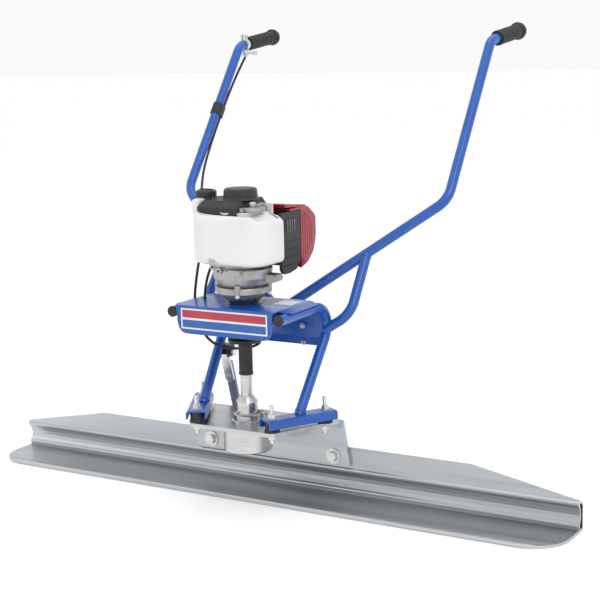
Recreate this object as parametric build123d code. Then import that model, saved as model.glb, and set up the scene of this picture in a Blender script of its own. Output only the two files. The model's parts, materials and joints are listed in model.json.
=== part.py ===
from build123d import *
import math
import os

os.makedirs("parts", exist_ok=True)

# ---------------------------------------------------------------- driving dimensions (mm)
# X runs along the blade, +Y to the operator's handles, +Z up. The origin is on the
# floor directly under the engine's vertical shaft line.
BLADE_LENGTH = 1219.2
BLADE_FRONT_Y = -26.0
BLADE_BACK_Y = 108.0
SOLE_THICK = 4.5
LIP_HEIGHT = 8.0
SOLE_CORNER_R = 72.0
FLANGE_FRONT_Y = 86.0
FLANGE_THICK = 4.5
FLANGE_TOP_Z = 95.0
FLANGE_END_Z = 57.0
FLANGE_FULL_HALF = 409.0

PLATE_TOP_Z = 148.0
PLATE_THICK = 7.0
PLATE_FRONT_Y = -60.0
PLATE_FRONT_HALF = 90.0
PLATE_BACK_HALF = 156.0
WALL_BOTTOM_HALF = 171.0
WALL_BOTTOM_Z = 62.0
BLADE_BOLT_X = 136.0
BLADE_BOLT_Z = 77.0

FRONT_STUD = (81.5, -46.0)
REAR_STUD = (135.0, 53.0)
CHANNEL_TOP_Z = 172.0
CHANNEL_WIDTH = 38.0
CHANNEL_DEPTH = 16.0
SHEET = 3.0

TUBE_OD = 19.05
TUBE_WALL = 1.6
FRAME_X = 113.0
FRAME_Z = 357.0
FRAME_FRONT_Y = -64.0
FRAME_CORNER_Y = 141.0
FRAME_BEND_R = 40.0

DECK_TOP_Z = 371.0
DECK_FRONT_Y = -69.0
DECK_BACK_Y = 63.0
DECK_HALF = 104.0
DECK_WING = 124.5

REAR_TOP = (95.0, 345.0)
REAR_KNEE = (94.0, 296.0)
REAR_LOW = (100.0, 279.0)
REAR_HALF = 103.4
REAR_BOLT_X = 69.0
REAR_BOLT_ROWS = (316.0, 285.5)
BASE_HALF = 86.0
BASE_SHEET = 4.0

SHAFT_R = 6.0
ENGINE_TOP_Z = 580.0

HANDLE_FOOT = (0.0, 118.8, 332.5)
HANDLE_BEND = (291.5, 253.0, 541.0)
HANDLE_TOP = (289.5, 459.2, 829.2)
HANDLE_END = (290.5, 596.0, 846.4)
HANDLE_BENDS = (50.0, 32.0)
HANDLE_JOINT = 203.0
GRIP_START = 31.0

STAND_X = -105.0
STAND_PIVOT = (STAND_X, 92.0, 252.0)
STAND_LEAN = 0.282


# ---------------------------------------------------------------- helpers
def save(name, shape):
    export_step(shape, os.path.join("parts", name + ".step"))


def vec(p):
    return Vector(p[0], p[1], p[2])


def flip_x(shape):
    return mirror(shape, about=Plane.YZ)


def group(items):
    return Compound(children=[s for item in items for s in item.solids()])


def cyl(x, y, z0, z1, r):
    return Pos(x, y, (z0 + z1) / 2) * Cylinder(r, z1 - z0)


def ring(x, y, z0, z1, r_out, r_in):
    return cyl(x, y, z0, z1, r_out) - cyl(x, y, z0 - 1, z1 + 1, r_in)


def block(x0, x1, y0, y1, z0, z1):
    centre = Pos((x0 + x1) / 2, (y0 + y1) / 2, (z0 + z1) / 2)
    return centre * Box(abs(x1 - x0), abs(y1 - y0), abs(z1 - z0))


def hex_prism(x, y, z0, z1, across_flats):
    plan = RegularPolygon(across_flats / 2, 6, major_radius=False)
    return Pos(x, y, z0) * extrude(plan, z1 - z0)


def rod(a, b, r):
    start = vec(a)
    run = vec(b) - start
    return Plane(origin=start, z_dir=run) * (Pos(0, 0, run.length / 2) * Cylinder(r, run.length))


def turned(profile):
    """A solid turned about the vertical shaft line from (radius, height) corners."""
    outline = Polyline(*[(r, 0, z) for r, z in profile], close=True)
    return revolve(make_face(outline), Axis.Z)


def smooth_path(points, radius=None):
    """Straight runs joined by tangent arcs, each as large as its runs allow."""
    pts = [vec(p) for p in points]
    edges = []
    here = pts[0]
    for i in range(1, len(pts) - 1):
        before = (pts[i] - pts[i - 1]).normalized()
        after = (pts[i + 1] - pts[i]).normalized()
        half_turn = before.get_angle(after) / 2
        shorter = min((pts[i] - pts[i - 1]).length, (pts[i + 1] - pts[i]).length)
        setback = 0.45 * shorter
        if radius is not None:
            wanted = radius[i - 1] if isinstance(radius, tuple) else radius
            setback = min(setback, wanted * math.tan(math.radians(half_turn)))
        arc_r = setback / math.tan(math.radians(half_turn))
        start = pts[i] - before * setback
        end = pts[i] + after * setback
        inward = (after - before).normalized()
        to_centre = arc_r / math.cos(math.radians(half_turn))
        middle = pts[i] + inward * (to_centre - arc_r)
        edges.append(Line(here, start))
        edges.append(ThreePointArc(start, middle, end))
        here = end
    edges.append(Line(here, pts[-1]))
    return Wire([e for piece in edges for e in piece.edges()])


def round_bar(points, r, radius=None):
    path = smooth_path(points, radius)
    section = Plane(origin=path @ 0, z_dir=path % 0) * Circle(r)
    return sweep(section, path=path)


def bent_tube(points, radius, outer=TUBE_OD, wall=TUBE_WALL):
    path = smooth_path(points, radius)
    ring_section = Circle(outer / 2) - Circle(outer / 2 - wall)
    section = Plane(origin=path @ 0, z_dir=path % 0) * ring_section
    return sweep(section, path=path)


def softened(shape, edges, radius):
    """Fillet the edges, trying smaller radii when the full one does not fit."""
    for factor in (1.0, 0.75, 0.5, 0.3):
        try:
            result = fillet(edges, radius * factor)
            if result.is_valid:
                return result
        except Exception:
            continue
    return shape


def along(a, b, distance):
    step = (vec(b) - vec(a)).normalized() * distance
    return (a[0] + step.X, a[1] + step.Y, a[2] + step.Z)


# ---------------------------------------------------------------- blade
def blade_section():
    back = BLADE_BACK_Y
    flange_back = FLANGE_FRONT_Y + FLANGE_THICK
    outline = Polyline(
        (BLADE_FRONT_Y + 1.2, 0),
        (back, 0),
        (back, 45),
        (back - 5, 52),
        (flange_back + 1.5, 55),
        (flange_back, 59),
        (flange_back, FLANGE_TOP_Z),
        (FLANGE_FRONT_Y, FLANGE_TOP_Z),
        (FLANGE_FRONT_Y, 55.5),
        (FLANGE_FRONT_Y - 2.2, 53.8),
        (FLANGE_FRONT_Y - 3.0, 51),
        (FLANGE_FRONT_Y - 2.2, 48),
        (FLANGE_FRONT_Y + 3.0, 43),
        (FLANGE_FRONT_Y + 6.5, 36),
        (FLANGE_FRONT_Y + 7.5, 29),
        (FLANGE_FRONT_Y + 6.5, 22),
        (FLANGE_FRONT_Y + 3.5, 16.5),
        (FLANGE_FRONT_Y + 0.8, 14),
        (FLANGE_FRONT_Y, 11.5),
        (FLANGE_FRONT_Y + 0.8, 9),
        (FLANGE_FRONT_Y + 3.0, SOLE_THICK + 1.5),
        (FLANGE_FRONT_Y + 0.5, SOLE_THICK),
        (BLADE_FRONT_Y + 9, SOLE_THICK),
        (BLADE_FRONT_Y + 5, LIP_HEIGHT - 1),
        (BLADE_FRONT_Y + 3.5, LIP_HEIGHT),
        (BLADE_FRONT_Y + 1, LIP_HEIGHT),
        (BLADE_FRONT_Y, LIP_HEIGHT - 1.5),
        (BLADE_FRONT_Y, 1.2),
        close=True,
    )
    hollow = Polyline(
        (FLANGE_FRONT_Y + 6.5, SOLE_THICK),
        (back - 3.5, SOLE_THICK),
        (back - 3.5, 44),
        (back - 7.5, 48.8),
        (FLANGE_FRONT_Y + 5.0, 50.5),
        (FLANGE_FRONT_Y + 5.0, 47),
        (FLANGE_FRONT_Y + 9.5, 38),
        (FLANGE_FRONT_Y + 11.0, 29),
        (FLANGE_FRONT_Y + 9.5, 20),
        (FLANGE_FRONT_Y + 5.0, 12),
        close=True,
    )
    return make_face(outline) - make_face(hollow)


def make_blade():
    half = BLADE_LENGTH / 2
    profile = Plane(origin=(-half, 0, 0), x_dir=(0, 1, 0), z_dir=(1, 0, 0)) * blade_section()
    bar = extrude(profile, BLADE_LENGTH)
    r = SOLE_CORNER_R
    plan = Pos(0, (BLADE_FRONT_Y + BLADE_BACK_Y) / 2) * Rectangle(
        BLADE_LENGTH, BLADE_BACK_Y - BLADE_FRONT_Y
    )
    front = plan.vertices().sort_by(Axis.Y)[0:2]
    bar = bar & extrude(fillet(front, r), 120)
    top = FLANGE_TOP_Z + 1
    taper = Polyline(
        (FLANGE_FULL_HALF, 0, FLANGE_TOP_Z),
        (half + 1, 0, FLANGE_END_Z),
        (half + 1, 0, top),
        (FLANGE_FULL_HALF, 0, top),
        close=True,
    )
    wedge = extrude(make_face(taper), 200, dir=(0, 1, 0))
    bar = bar - wedge - flip_x(wedge)
    for side in (-1, 1):
        hole = rod(
            (side * BLADE_BOLT_X, FLANGE_FRONT_Y - 2, BLADE_BOLT_Z),
            (side * BLADE_BOLT_X, FLANGE_FRONT_Y + FLANGE_THICK + 2, BLADE_BOLT_Z),
            5.25,
        )
        bar = bar - hole
    return bar


# ---------------------------------------------------------------- exciter bracket and housing
def make_bracket():
    wall_front = FLANGE_FRONT_Y - PLATE_THICK
    plan = Polyline(
        (-PLATE_FRONT_HALF, PLATE_FRONT_Y),
        (PLATE_FRONT_HALF, PLATE_FRONT_Y),
        (PLATE_BACK_HALF, FLANGE_FRONT_Y),
        (-PLATE_BACK_HALF, FLANGE_FRONT_Y),
        close=True,
    )
    plate = Pos(0, 0, PLATE_TOP_Z - PLATE_THICK) * extrude(make_face(plan), PLATE_THICK)
    front_corners = plate.edges().filter_by(Axis.Z).sort_by(Axis.Y)[0:2]
    plate = softened(plate, front_corners, 10)
    face = Polyline(
        (-PLATE_BACK_HALF, 0, PLATE_TOP_Z),
        (PLATE_BACK_HALF, 0, PLATE_TOP_Z),
        (WALL_BOTTOM_HALF, 0, WALL_BOTTOM_Z),
        (-WALL_BOTTOM_HALF, 0, WALL_BOTTOM_Z),
        close=True,
    )
    wall = Pos(0, wall_front, 0) * extrude(make_face(face), PLATE_THICK, dir=(0, 1, 0))
    bracket = plate + wall
    inner = block(-140, 140, wall_front - 6, wall_front, PLATE_TOP_Z - PLATE_THICK - 6,
                  PLATE_TOP_Z - PLATE_THICK)
    inner = inner - rod((-141, wall_front - 6, PLATE_TOP_Z - PLATE_THICK - 6),
                        (141, wall_front - 6, PLATE_TOP_Z - PLATE_THICK - 6), 6)
    bracket = bracket + inner
    ridge = bracket.edges().filter_by(Axis.X).filter_by(
        lambda e: e.center().Z > PLATE_TOP_Z - 0.1 and e.center().Y > FLANGE_FRONT_Y - 0.1
    )
    bracket = softened(bracket, ridge, 5)
    bracket = bracket - cyl(0, 0, 130, 160, 16.1)
    for x, y in (FRONT_STUD, REAR_STUD):
        for side in (-1, 1):
            bracket = bracket - cyl(side * x, y, 130, 160, 4.4)
    for side in (-1, 1):
        bracket = bracket - rod(
            (side * BLADE_BOLT_X, wall_front - 2, BLADE_BOLT_Z),
            (side * BLADE_BOLT_X, FLANGE_FRONT_Y + 2, BLADE_BOLT_Z),
            5.25,
        )
    return bracket


def make_exciter_housing():
    body = turned(
        [(0, 95), (43, 95), (45, 97), (45, 141), (37, 141), (37, 112), (20, 112), (20, 108.6),
         (16.05, 108.6), (16.05, 98.6), (9, 98.6), (9, 97.5), (0, 97.5)]
    )
    groove = block(-24.6, -22.6, -46, -38.4, 99, 141.5)
    body = body - groove
    return body


def make_bearing(z0, z1):
    race = ring(0, 0, z0, z1, 16.0, SHAFT_R + 0.05)
    return race - ring(0, 0, z1 - 1.2, z1 + 1, 13.0, 9.0) - ring(0, 0, z0 - 1, z0 + 1.2, 13.0, 9.0)


def make_eccentric():
    disc = cyl(0, 0, 113, 133, 33) - block(-40, 40, 0, 40, 110, 140)
    hub = cyl(0, 0, 113, 133, 12)
    weight = disc + hub - cyl(0, 0, 110, 140, SHAFT_R)
    screw_hole = rod((0, -34, 123), (0, -6, 123), 2.5)
    return weight - screw_hole


def make_shaft_base():
    body = turned(
        [(16.05, 148), (29, 148), (29, 151), (26, 152.5), (26, 162), (24, 163.5), (17.8, 163.5),
         (17.8, 169), (20.5, 169), (20.5, 186), (13, 196.5), (11.2, 196.5), (11.2, 172),
         (7.5, 172), (7.5, 159.2), (16.05, 159.2)]
    )
    for side in (-1, 1):
        body = body - block(-30, 30, side * 18.4, side * 30, 168.5, 187)
    lug = block(14, 30, 8, 26, 150, 168)
    lug = softened(lug, lug.edges().filter_by(Axis.X).sort_by(Axis.Z)[-2:], 7)
    body = body + (lug - cyl(0, 0, 140, 200, 17))
    return body - rod((22, 17, 160), (32, 17, 160), 2.2)


def make_sleeve():
    body = ring(0, 0, 237, 297.7, 12.9, 11.25)
    lip = ring(0, 0, 237, 241, 13.5, 11.25)
    return body + lip


def make_shaft_head():
    body = turned(
        [(11.2, 298), (30, 298), (32, 300), (32, 304), (30, 306), (22, 307), (20, 312), (20, 350),
         (24, 360), (40, 362), (40, 368), (28, 368), (28, 364), (17, 364), (17, 350), (7.5, 350),
         (7.5, 330), (11.2, 330)]
    )
    for x, y in deck_bolt_spots():
        body = body - cyl(x, y, 355, 370, 2.7)
    return body


# ---------------------------------------------------------------- foot channels and mounts
def channel_frame(side):
    fx, fy = FRONT_STUD
    rx, ry = REAR_STUD
    run = Vector(rx - fx, ry - fy, 0).normalized()
    start = Vector(fx, fy, 0) - run * 15
    length = math.hypot(rx - fx, ry - fy) + 31
    return Vector(side * start.X, start.Y, 0), Vector(side * run.X, run.Y, 0), length


def make_channel(side):
    start, run, length = channel_frame(side)
    plane = Plane(origin=start, x_dir=Vector(0, 0, 1).cross(run), z_dir=run)
    w = CHANNEL_WIDTH / 2
    top = CHANNEL_TOP_Z
    low = top - CHANNEL_DEPTH
    outline = Polyline(
        (-w, low), (-w, top - 5), (-w + 1.5, top - 1.5), (-w + 5, top),
        (w - 5, top), (w - 1.5, top - 1.5), (w, top - 5), (w, low),
        (w - SHEET, low), (w - SHEET, top - 5), (w - 5, top - SHEET),
        (-w + 5, top - SHEET), (-w + SHEET, top - 5), (-w + SHEET, low), close=True,
    )
    section = make_face(outline)
    local_up = plane.from_local_coords(Vector(0, 1, 0)) - plane.origin
    if local_up.Z < 0:
        section = mirror(section, about=Plane.XZ)
    channel = extrude(plane * section, length)
    for x, y in (FRONT_STUD, REAR_STUD):
        channel = channel - cyl(side * x, y, top - 8, top + 4, 4.4)
    return channel


def stud_positions():
    return [(side * x, y) for x, y in (FRONT_STUD, REAR_STUD) for side in (-1, 1)]


def make_isolators():
    pads = []
    top = CHANNEL_TOP_Z - SHEET
    for x, y in stud_positions():
        waist = Polyline(
            (4.2, 0, PLATE_TOP_Z), (14, 0, PLATE_TOP_Z), (14, 0, PLATE_TOP_Z + 3.5),
            (12.4, 0, PLATE_TOP_Z + 7), (12.4, 0, top - 7), (14, 0, top - 3.5), (14, 0, top),
            (4.2, 0, top), close=True,
        )
        pads.append(Pos(x, y, 0) * revolve(make_face(waist), Axis.Z))
    return group(pads)


def make_studs():
    return group([cyl(x, y, 127, 197, 4.0) for x, y in stud_positions()])


def nut(x, y, z0, height, bore):
    body = hex_prism(x, y, z0, z0 + height, 13)
    body = body & cyl(x, y, z0, z0 + height, 7.2)
    return body - cyl(x, y, z0 - 1, z0 + height + 1, bore)


def make_mount_nuts():
    pieces = []
    for x, y in stud_positions():
        pieces.append(ring(x, y, CHANNEL_TOP_Z, CHANNEL_TOP_Z + 1.6, 8.5, 4.3))
        pieces.append(nut(x, y, CHANNEL_TOP_Z + 1.6, 6.8, 4.03))
        pieces.append(nut(x, y, PLATE_TOP_Z - PLATE_THICK - 6.8, 6.8, 4.03))
    return group(pieces)


def on_y(shape, x, y, z):
    """Stand a vertical fastener along -Y: its underside sits on the plane at y."""
    return Pos(x, y, z) * (Rot(90, 0, 0) * shape)


def make_blade_bolts():
    pieces = []
    front = FLANGE_FRONT_Y - PLATE_THICK
    for side in (-1, 1):
        shank = Pos(0, 0, -8) * Cylinder(5.0, 28)
        head = hex_prism(0, 0, 2.5, 9.5, 17) & cyl(0, 0, 2.5, 9.5, 9.4)
        washer_seat = cyl(0, 0, 2.5, 3.3, 8.2)
        bolt = head + washer_seat + Pos(0, 0, 0) * shank
        pieces.append(on_y(bolt, side * BLADE_BOLT_X, front, BLADE_BOLT_Z))
    return group(pieces)


def make_blade_washers():
    pieces = []
    front = FLANGE_FRONT_Y - PLATE_THICK
    back = FLANGE_FRONT_Y + FLANGE_THICK
    for side in (-1, 1):
        washer = ring(0, 0, 0, 2.5, 15.0, 5.1)
        pieces.append(on_y(washer, side * BLADE_BOLT_X, front, BLADE_BOLT_Z))
        pieces.append(on_y(washer, side * BLADE_BOLT_X, back + 2.5, BLADE_BOLT_Z))
    return group(pieces)


def make_blade_nuts():
    pieces = []
    back = FLANGE_FRONT_Y + FLANGE_THICK + 2.5
    for side in (-1, 1):
        body = hex_prism(0, 0, -8, 0, 17) & cyl(0, 0, -8, 0, 9.4)
        body = body - cyl(0, 0, -9, 1, 5.03)
        pieces.append(on_y(body, side * BLADE_BOLT_X, back, BLADE_BOLT_Z))
    return group(pieces)


# ---------------------------------------------------------------- frame
def frame_points(side):
    return [
        (side * FRAME_X, FRAME_FRONT_Y, FRAME_Z),
        (side * (FRAME_X + 2), FRAME_CORNER_Y, FRAME_Z),
        (side * 105.0, 10.0, 168.0),
    ]


def make_frame_tube(side):
    tube = bent_tube(frame_points(side), FRAME_BEND_R)
    below = block(side * 60, side * 150, -60, 80, 140, CHANNEL_TOP_Z + 0.2)
    return tube - below


def make_end_caps():
    pieces = []
    inner = TUBE_OD / 2 - TUBE_WALL
    for side in (-1, 1):
        head = rod((side * FRAME_X, FRAME_FRONT_Y - 4.5, FRAME_Z),
                   (side * FRAME_X, FRAME_FRONT_Y - 0.1, FRAME_Z), TUBE_OD / 2 + 0.6)
        head = softened(head, head.edges().sort_by(Axis.Y)[0:1], 1.6)
        plug = rod((side * FRAME_X, FRAME_FRONT_Y - 1, FRAME_Z),
                   along((side * FRAME_X, FRAME_FRONT_Y, FRAME_Z),
                         (side * (FRAME_X + 2), FRAME_CORNER_Y, FRAME_Z), 12), inner - 0.25)
        pieces.append(head + plug)
    return group(pieces)


def make_deck():
    plan = Pos(0, (DECK_FRONT_Y + DECK_BACK_Y) / 2) * Rectangle(
        2 * DECK_HALF, DECK_BACK_Y - DECK_FRONT_Y
    )
    top = Pos(0, 0, DECK_TOP_Z - SHEET) * extrude(plan, SHEET)
    skirt_face = Polyline(
        (-103, 0, DECK_TOP_Z - 1), (103, 0, DECK_TOP_Z - 1), (100, 0, 338), (97, 0, 328),
        (90, 0, 321), (81, 0, 319), (-81, 0, 319), (-90, 0, 321), (-97, 0, 328), (-100, 0, 338),
        close=True,
    )
    skirt = Pos(0, DECK_FRONT_Y, 0) * extrude(make_face(skirt_face), SHEET, dir=(0, 1, 0))
    deck = top + skirt
    front_fold = deck.edges().filter_by(Axis.X).filter_by(
        lambda e: e.center().Z > DECK_TOP_Z - 0.1 and e.center().Y < DECK_FRONT_Y + 0.1)
    deck = softened(deck, front_fold, 2.5)
    wing_section = Polyline(
        (DECK_HALF - 1, -50, DECK_TOP_Z), (DECK_HALF, -50, DECK_TOP_Z),
        (DECK_WING, -50, DECK_TOP_Z - 4.4), (DECK_WING, -50, DECK_TOP_Z - 6.0),
        (DECK_HALF, -50, DECK_TOP_Z - 2.2), (DECK_HALF - 1, -50, DECK_TOP_Z - 2.2), close=True,
    )
    wing = extrude(make_face(wing_section), DECK_BACK_Y + 50, dir=(0, 1, 0))
    front_bevel = Polyline(
        (DECK_HALF, -51, 350), (DECK_WING + 1, -51, 350), (DECK_WING + 1, -36, 350), close=True
    )
    back_bevel = Polyline(
        (DECK_HALF, DECK_BACK_Y + 1, 350), (DECK_WING + 1, DECK_BACK_Y + 1, 350),
        (DECK_WING + 1, DECK_BACK_Y - 7, 350), close=True
    )
    wing = wing - extrude(make_face(front_bevel), 40, dir=(0, 0, 1))
    wing = wing - extrude(make_face(back_bevel), 40, dir=(0, 0, 1))
    deck = deck + wing + flip_x(wing)
    for side in (-1, 1):
        lip = block(side * 99.2, side * 101.6, DECK_FRONT_Y + 1, 60, 346, DECK_TOP_Z - 1)
        deck = deck + lip
    deck = deck - cyl(0, 0, 360, 380, 27)
    for x, y in deck_bolt_spots():
        deck = deck - cyl(x, y, 360, 380, 2.7)
    return deck - cyl(CABLE_HOLE[0], CABLE_HOLE[1], 360, 380, 5.5)


CABLE_HOLE = (-91.0, 6.0)


def four_spots(radius, first_angle):
    angles = [math.radians(first_angle + 90 * i) for i in range(4)]
    return [(radius * math.cos(a), radius * math.sin(a)) for a in angles]


def deck_bolt_spots():
    return four_spots(34.0, 45)


def case_bolt_spots():
    return four_spots(47.5, 20)


def leaf_normals():
    """Outward directions (y, z) of the upper and the lower leaf of the rear plate."""
    up = Vector(REAR_KNEE[0] - REAR_TOP[0], REAR_KNEE[1] - REAR_TOP[1], 0).normalized()
    down = Vector(REAR_LOW[0] - REAR_KNEE[0], REAR_LOW[1] - REAR_KNEE[1], 0).normalized()
    return (-up.Y, up.X), (-down.Y, down.X)


def folded_plate(gap, thick, half_width, trim_top, trim_low):
    """A V-bent plate lying this far outside the rear plate's inner face."""
    n_up, n_low = leaf_normals()
    bisector = Vector(n_up[0] + n_low[0], n_up[1] + n_low[1], 0).normalized()
    cos_half = bisector.X * n_up[0] + bisector.Y * n_up[1]
    run_up = Vector(REAR_KNEE[0] - REAR_TOP[0], REAR_KNEE[1] - REAR_TOP[1], 0).normalized()
    run_low = Vector(REAR_LOW[0] - REAR_KNEE[0], REAR_LOW[1] - REAR_KNEE[1], 0).normalized()
    top = (REAR_TOP[0] + run_up.X * trim_top, REAR_TOP[1] + run_up.Y * trim_top)
    low = (REAR_LOW[0] - run_low.X * trim_low, REAR_LOW[1] - run_low.Y * trim_low)

    def layer(offset):
        knee = offset / cos_half
        return [
            (top[0] + n_up[0] * offset, top[1] + n_up[1] * offset),
            (REAR_KNEE[0] + bisector.X * knee, REAR_KNEE[1] + bisector.Y * knee),
            (low[0] + n_low[0] * offset, low[1] + n_low[1] * offset),
        ]

    corners = layer(gap) + layer(gap + thick)[::-1]
    outline = Polyline(*[(0, y, z) for y, z in corners], close=True)
    return extrude(make_face(outline), half_width, both=True, dir=(1, 0, 0))


def rear_bolt_planes():
    """Planes on the rear plate's front face, facing outward, at the four bolts."""
    n_up, n_low = leaf_normals()
    planes = []
    leaves = ((REAR_TOP, n_up), (REAR_LOW, n_low))
    for z, (end, n) in zip(REAR_BOLT_ROWS, leaves):
        slope = (REAR_KNEE[0] - end[0]) / (REAR_KNEE[1] - end[1])
        y = end[0] + (z - end[1]) * slope
        for x in (REAR_BOLT_X, -REAR_BOLT_X):
            planes.append(Plane(origin=(x, y, z), x_dir=(1, 0, 0), z_dir=(0, n[0], n[1])))
    return planes


def with_rear_holes(plate):
    for plane in rear_bolt_planes():
        plate = plate - plane * Cylinder(3.2, 40)
    return plate


def make_rear_plate():
    """Cross plate between the two legs of the frame, folded along its width."""
    plate = with_rear_holes(folded_plate(0, SHEET, REAR_HALF + 6, 0, 0))
    for side in (-1, 1):
        path = smooth_path(frame_points(side), FRAME_BEND_R)
        section = Plane(origin=path @ 0, z_dir=path % 0) * Circle(TUBE_OD / 2 + 0.02)
        plate = plate - sweep(section, path=path)
        plate = plate - block(side * FRAME_X, side * 140, 60, 140, 260, 360)
    return plate.solids().sort_by(SortBy.VOLUME)[-1]


def handle_cope(side):
    """The space of one handle tube's straight lower run, for coping the base to it."""
    foot = side_point(along(HANDLE_FOOT, HANDLE_BEND, -30), side)
    up = side_point(along(HANDLE_FOOT, HANDLE_BEND, 120), side)
    return rod(foot, up, TUBE_OD / 2 + 0.02)


def make_handle_base():
    """Folded plate behind the cross plate, with two ribs that carry the handle tubes."""
    plate = folded_plate(SHEET, BASE_SHEET, BASE_HALF, 6, 3)
    for side in (-1, 1):
        rib = block(side * 14, side * 20, 99, 134, 304, 347)
        lower_corner = Polyline(
            (side * 10, 106, 303), (side * 10, 135, 303), (side * 10, 135, 330), close=True
        )
        rib = rib - extrude(make_face(lower_corner), side * 20, dir=(1, 0, 0))
        plate = plate + rib
    plate = with_rear_holes(plate)
    for side in (-1, 1):
        plate = plate - handle_cope(side)
    return plate.solids().sort_by(SortBy.VOLUME)[-1]


def make_rear_bolts():
    pieces = []
    stack = SHEET + BASE_SHEET
    for plane in rear_bolt_planes():
        shank = plane * (Pos(0, 0, 2) * Cylinder(3.0, 20))
        head = plane * (Pos(0, 0, stack) * extrude(RegularPolygon(5, 6, major_radius=False), 4))
        nut_body = plane * (Pos(0, 0, -5) * extrude(RegularPolygon(5, 6, major_radius=False), 5))
        pieces.append(shank + head + nut_body)
    return group(pieces)


# ---------------------------------------------------------------- handles
def side_point(p, side):
    return (side * p[0], p[1], p[2])


def handle_joint(side):
    return side_point(along(HANDLE_FOOT, HANDLE_BEND, HANDLE_JOINT), side)


def make_handle_tube(side):
    points = [side_point(p, side) for p in (HANDLE_FOOT, HANDLE_BEND, HANDLE_TOP, HANDLE_END)]
    tube = bent_tube(points, HANDLE_BENDS)
    other_side = block(side * 0.15, -side * 60, 60, 200, 300, 420)
    tube = tube - other_side - block(-60, 60, 60, REAR_TOP[0] + SHEET + BASE_SHEET + 0.3, 300, 400)
    return tube.solids().sort_by(SortBy.VOLUME)[-1]


BRACE_FOOT = (110.0, 101.0, 309.3)
BRACE_BEND = (160.0, 111.0, 341.0)


def brace_points(side):
    joint = handle_joint(side)
    return [
        side_point(BRACE_FOOT, side),
        side_point(BRACE_BEND, side),
        (joint[0], joint[1] - 1.0, joint[2] - 1.0),
    ]


def make_brace(side):
    brace = bent_tube(brace_points(side), 70.0)
    a = side_point(along(HANDLE_FOOT, HANDLE_BEND, HANDLE_JOINT - 60), side)
    b = side_point(along(HANDLE_FOOT, HANDLE_BEND, HANDLE_JOINT + 40), side)
    brace = brace - rod(a, b, TUBE_OD / 2 + 0.02)
    path = smooth_path(frame_points(side), FRAME_BEND_R)
    section = Plane(origin=path @ 0, z_dir=path % 0) * Circle(TUBE_OD / 2 + 0.02)
    brace = brace - sweep(section, path=path) - block(0, side * 111, 60, 160, 280, 360)
    return brace.solids().sort_by(SortBy.VOLUME)[-1]


def grip_axis(side):
    top = side_point(HANDLE_TOP, side)
    end = side_point(HANDLE_END, side)
    return top, end


def make_grip(side):
    top, end = grip_axis(side)
    start = along(top, end, GRIP_START)
    length = (vec(end) - vec(start)).length + 4.0
    core = TUBE_OD / 2 + 0.05
    profile = [(core, 0), (14.2, 0), (15.0, 1.5), (15.0, 6), (13.6, 8)]
    z = 8.0
    while z < length - 24:
        profile += [(13.6, z + 1.2), (14.6, z + 2.0), (14.6, z + 5.2), (13.6, z + 6.0)]
        z += 7.2
    profile += [(13.6, length - 13), (17.5, length - 9), (17.8, length - 6), (16.5, length),
                (10, length + 2.5), (0, length + 3.0), (0, length - 4.0), (core, length - 4.0)]
    outline = Polyline(*[(r, 0, h) for r, h in profile], close=True)
    body = revolve(make_face(outline), Axis.Z)
    return Plane(origin=vec(start), z_dir=vec(end) - vec(start)) * body


# ---------------------------------------------------------------- throttle control (left grip)
def control_plane():
    top, end = grip_axis(-1)
    centre = along(top, end, GRIP_START - 10.5)
    axis = (vec(end) - vec(top)).normalized()
    return Plane(origin=vec(centre), x_dir=(1, 0, 0), z_dir=axis)


def control_frame():
    """Clamp centre, grip direction and the direction square to it, pointing down."""
    plane = control_plane()
    axis = plane.z_dir
    sideways = Vector(1, 0, 0) - axis * axis.X
    sideways = sideways.normalized()
    down = sideways.cross(axis).normalized()
    if down.Z > 0:
        down = down * -1
    return plane.origin, axis, sideways, down


def make_throttle_clamp():
    origin, axis, sideways, down = control_frame()
    r = TUBE_OD / 2
    band = Plane(origin=origin - axis * 6, z_dir=axis) * (
        Pos(0, 0, 6) * (Cylinder(r + 2.6, 12) - Cylinder(r + 0.05, 14))
    )
    ear_at = origin - down * (r + 6.5)
    ear_plane = Plane(origin=ear_at, x_dir=sideways, z_dir=down)
    ears = ear_plane * (Pos(0, 0, 0) * Box(12, 10, 11))
    slit = ear_plane * Box(2.0, 30, 17)
    screw = Plane(origin=ear_at, z_dir=sideways) * (Pos(0, 0, 0) * Cylinder(1.6, 20))
    pod_at = origin + down * (r + 5.2)
    pod = Plane(origin=pod_at, x_dir=sideways, z_dir=down) * Cylinder(9.0, 8.4)
    body = band + ears + pod
    body = body - slit - screw
    bore = Plane(origin=origin, z_dir=axis) * Cylinder(r + 0.05, 40)
    body = body - bore
    pin_hole = Plane(origin=pod_at, z_dir=down) * Cylinder(2.55, 30)
    body = body - pin_hole
    return body.solids().sort_by(SortBy.VOLUME)[-1]


def lever_origin():
    origin, axis, sideways, down = control_frame()
    return origin + down * (TUBE_OD / 2 + 5.2 + 4.2 + 0.3)


def make_throttle_lever():
    origin, axis, sideways, down = control_frame()
    start = lever_origin()
    plane = Plane(origin=start, x_dir=axis, z_dir=down)
    hub = plane * (Pos(0, 0, 1.5) * Cylinder(8.5, 3.0))
    arm = plane * (Pos(17, 0, 1.5) * Box(34, 8, 3.0))
    tip = plane * (Pos(36, 0, 4.0) * Cylinder(6.5, 8.0))
    cable_arm = plane * (Pos(-7, 5.5, 1.5) * Box(15, 7, 3.0))
    body = hub + arm + tip + cable_arm
    return body - plane * Cylinder(2.55, 30)


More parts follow.
